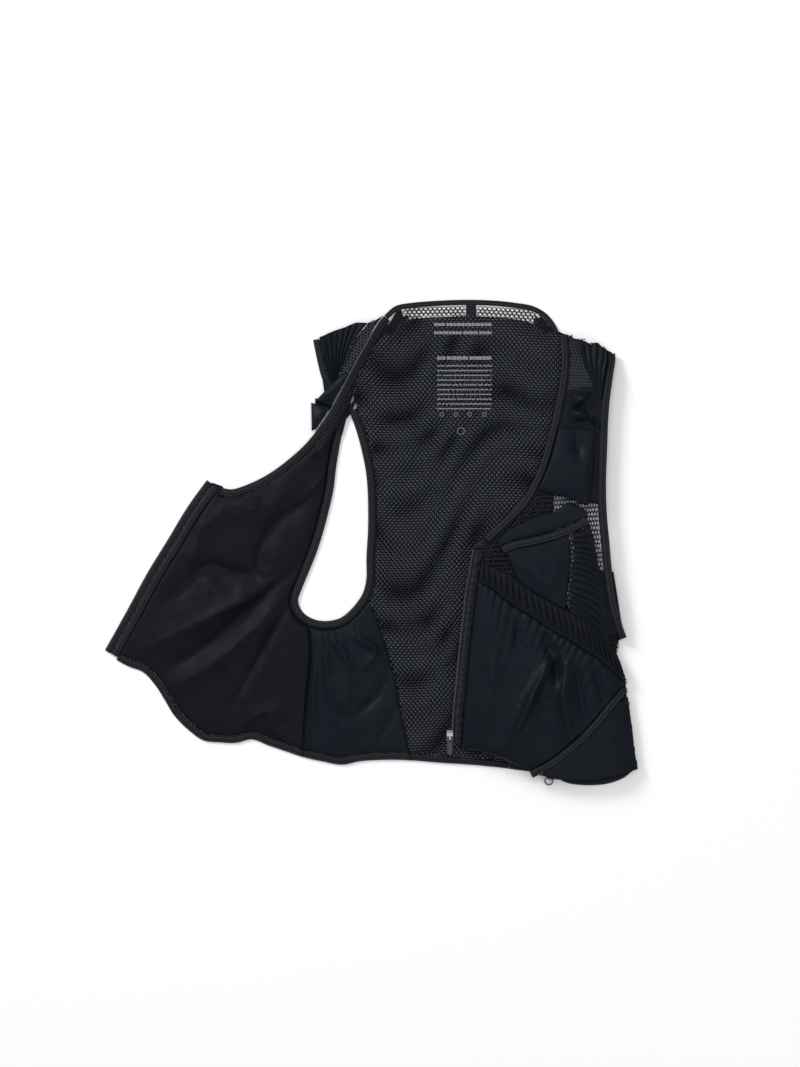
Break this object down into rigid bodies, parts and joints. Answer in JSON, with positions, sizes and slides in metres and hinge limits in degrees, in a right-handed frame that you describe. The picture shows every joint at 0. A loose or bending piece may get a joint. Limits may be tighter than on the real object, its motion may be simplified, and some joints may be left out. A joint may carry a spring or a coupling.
{
  "type": "running hydration vest",
  "caption": "Black running vest laid flat, back down and inside up, one front swung open to show its lining and the other folded over the back with its pockets, gathers and zip.",
  "frame": {"origin": "bottom centre of the laid out vest's bounding box, on the ground", "axes": "+X across the vest towards the folded front, +Y up the back towards the neck, +Z off the ground"},
  "size_m": [0.4792, 0.437, 0.0234],
  "materials": {
    "net_cloth": "open hexagonal net of fine threads",
    "lining_cloth": "thin smooth woven cloth, slightly glossy",
    "pocket_cloth": "stretch net cloth",
    "binding_tape": "folded elastic tape with stitch rows",
    "nylon": "black nylon coil and tape",
    "slider_metal": "grey satin",
    "pull_rubber": "grey matte"
  },
  "bodies": {
    "vest": {"armhole_binding_left": "binding_tape", "armhole_binding_right_back": "binding_tape", "armhole_binding_right_front": "binding_tape", "back_inner_net": "net_cloth", "back_outer_panel": "lining_cloth", "collar_end_left": "lining_cloth", "collar_end_right": "lining_cloth", "collar_net_left": "net_cloth", "collar_net_right": "net_cloth", "collar_tab": "binding_tape", "diagonal_binding": "binding_tape", "gathered_band": "pocket_cloth", "hem_back": "binding_tape", "hem_left_front": "binding_tape", "hem_left_side": "binding_tape", "hem_right_side": "binding_tape", "hem_ring": "nylon", "hem_ring_loop": "binding_tape", "left_front_lining": "lining_cloth", "left_shoulder_net": "net_cloth", "left_side_panel": "lining_cloth", "left_sleeve_flap": "pocket_cloth", "left_sleeve_roll": "pocket_cloth", "left_yoke": "lining_cloth", "left_yoke_band": "binding_tape", "left_zip_facing": "binding_tape", "left_zip_tape": "nylon", "main_pocket": "pocket_cloth", "neck_binding_back": "binding_tape", "neck_binding_left": "binding_tape", "neck_binding_right": "binding_tape", "right_flask_sleeve": "pocket_cloth", "right_front_net": "net_cloth", "right_front_side": "lining_cloth", "right_side_panel": "lining_cloth", "right_sleeve_corner": "pocket_cloth", "right_sleeve_flap": "pocket_cloth", "right_sleeve_roll": "pocket_cloth", "right_yoke": "lining_cloth", "shirred_side_panel": "pocket_cloth", "upper_pocket": "pocket_cloth", "upper_pocket_top": "pocket_cloth", "upper_pocket_trim": "binding_tape", "zip_coil": "nylon", "zip_garage": "binding_tape", "zip_slider": "slider_metal", "zip_tape": "nylon"},
    "pull": {"zip_pull": "pull_rubber"}
  },
  "joints": [
    {"name": "zip_pull_hinge", "type": "hinge", "parent": "vest", "child": "pull", "pos_m": [0.07058, -0.17466, 0.01325], "axis": [-1, 0, 0], "range_deg": [0, 150]}
  ]
}
